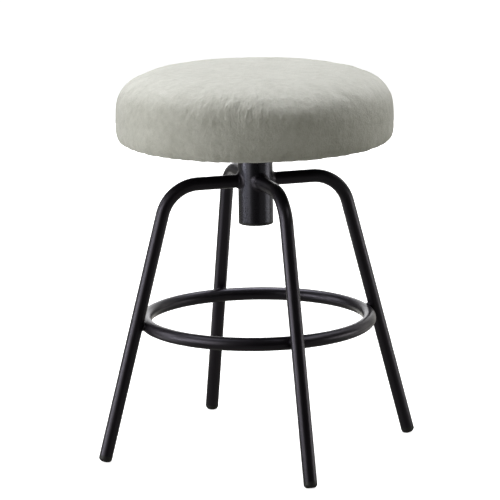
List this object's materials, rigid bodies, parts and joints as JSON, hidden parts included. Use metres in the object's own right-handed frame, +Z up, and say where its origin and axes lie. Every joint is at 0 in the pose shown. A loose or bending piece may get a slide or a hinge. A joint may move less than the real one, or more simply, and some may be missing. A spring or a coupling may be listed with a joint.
{
  "type": "low stool",
  "caption": "Low swivel stool: a round upholstered seat turns on a bearing in a short hub, carried by bent tube legs with a welded foot ring.",
  "frame": {"origin": "on the floor, under the seat's centre", "axes": "+Z up along the swivel axis; the legs stand on the X and Y axes, with the front leg on -Y"},
  "size_m": [0.4298, 0.4298, 0.4985],
  "materials": {
    "powder_black": "satin black powder coat",
    "seat_fabric": "soft, slightly mottled short-pile cloth in warm light grey",
    "seat_foam": "open-cell foam",
    "plywood": "raw plywood",
    "lining": "black non-woven lining",
    "black_plastic": "fine-textured moulded plastic",
    "bush_plastic": "smooth bearing plastic",
    "bearing_steel": "ground and polished bearing steel",
    "cage_steel": "pressed brass",
    "shaft_steel": "turned steel",
    "zinc_steel": "bright zinc plate"
  },
  "bodies": {
    "base": {"leg_right": "powder_black", "leg_back": "powder_black", "leg_left": "powder_black", "leg_front": "powder_black", "foot_ring": "powder_black", "hub_tube": "powder_black", "hub_weld_beads": "powder_black", "ring_weld_beads": "powder_black", "foot_glide_right": "black_plastic", "foot_glide_back": "black_plastic", "foot_glide_left": "black_plastic", "foot_glide_front": "black_plastic", "upper_bush": "bush_plastic", "lower_bush": "bush_plastic", "hub_end_cap": "black_plastic", "bearing_lower_race": "bearing_steel"},
    "ball_cage": {"bearing_cage": "cage_steel", "bearing_balls": "bearing_steel"},
    "seat": {"bearing_upper_race": "bearing_steel", "swivel_shaft": "shaft_steel", "retaining_washer": "zinc_steel", "retaining_bolt": "zinc_steel", "seat_plate": "powder_black", "plate_bolts": "zinc_steel", "plate_washers": "zinc_steel", "tee_nuts": "zinc_steel", "seat_board": "plywood", "seat_foam": "seat_foam", "seat_cover": "seat_fabric", "dust_cover": "lining", "cover_staples": "zinc_steel"}
  },
  "joints": [
    {"name": "seat_swivel", "type": "hinge", "parent": "base", "child": "seat", "pos_m": [0, 0, 0.3958], "axis": [0, 0, 1], "continuous": true},
    {"name": "cage_roll", "type": "hinge", "parent": "base", "child": "ball_cage", "pos_m": [0, 0, 0.3958], "axis": [0, 0, 1], "continuous": true}
  ],
  "couplings": [
    {"joint": "cage_roll", "follows": "seat_swivel", "ratio": 0.5}
  ]
}
